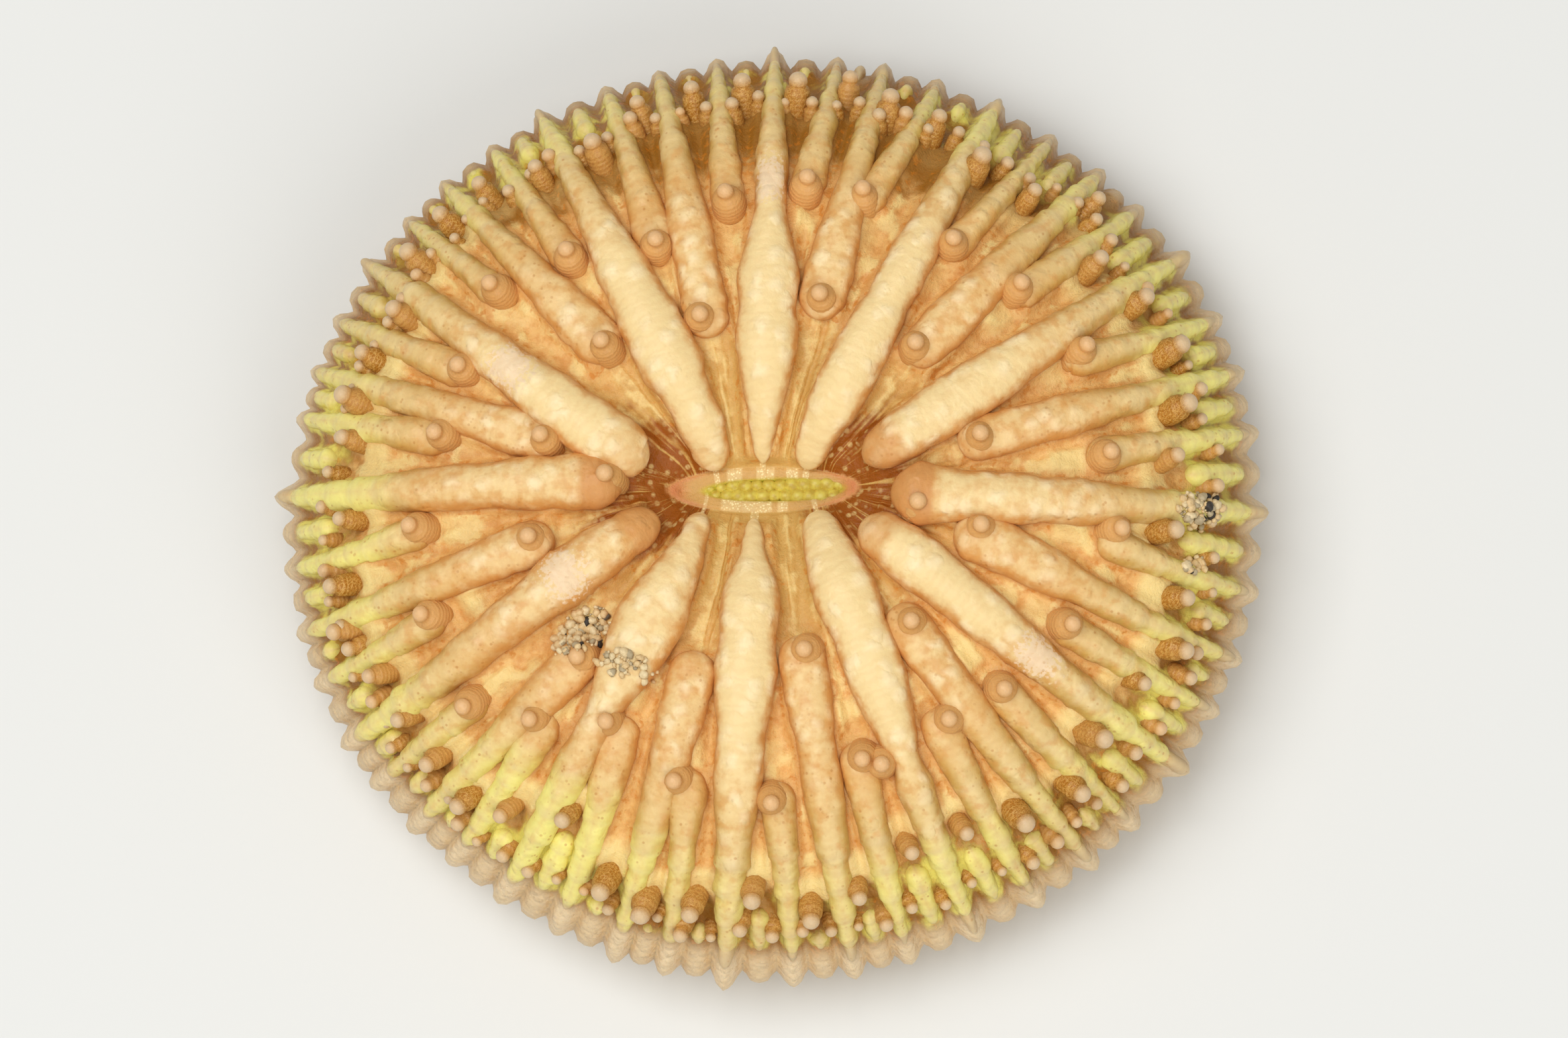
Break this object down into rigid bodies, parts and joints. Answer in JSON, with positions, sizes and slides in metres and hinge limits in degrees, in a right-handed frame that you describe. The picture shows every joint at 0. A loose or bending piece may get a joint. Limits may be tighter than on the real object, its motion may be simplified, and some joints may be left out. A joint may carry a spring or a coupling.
{
  "type": "mushroom coral",
  "caption": "Small living mushroom coral: a domed oval disc of radiating fleshy ridges round a slit mouth, with a toothed rim, resting on its flat underside.",
  "frame": {"origin": "middle of the coral's outline, on the flat face that it rests on", "axes": "+X along the slit mouth, the coral's longer way, to the right in the picture; +Y up in the picture; +Z out of the flat base, up through the mouth"},
  "size_m": [0.0342, 0.0326, 0.0107],
  "materials": {
    "coral_flesh": "moist satin living tissue over a hard skeleton",
    "sand": "loose grains of mixed beige, grey and near-black sand"
  },
  "bodies": {
    "root": {"coral": "coral_flesh", "sand_clump_west": "sand", "sand_clump_south": "sand", "sand_clump_east": "sand", "sand_clump_southeast": "sand"}
  },
  "joints": []
}
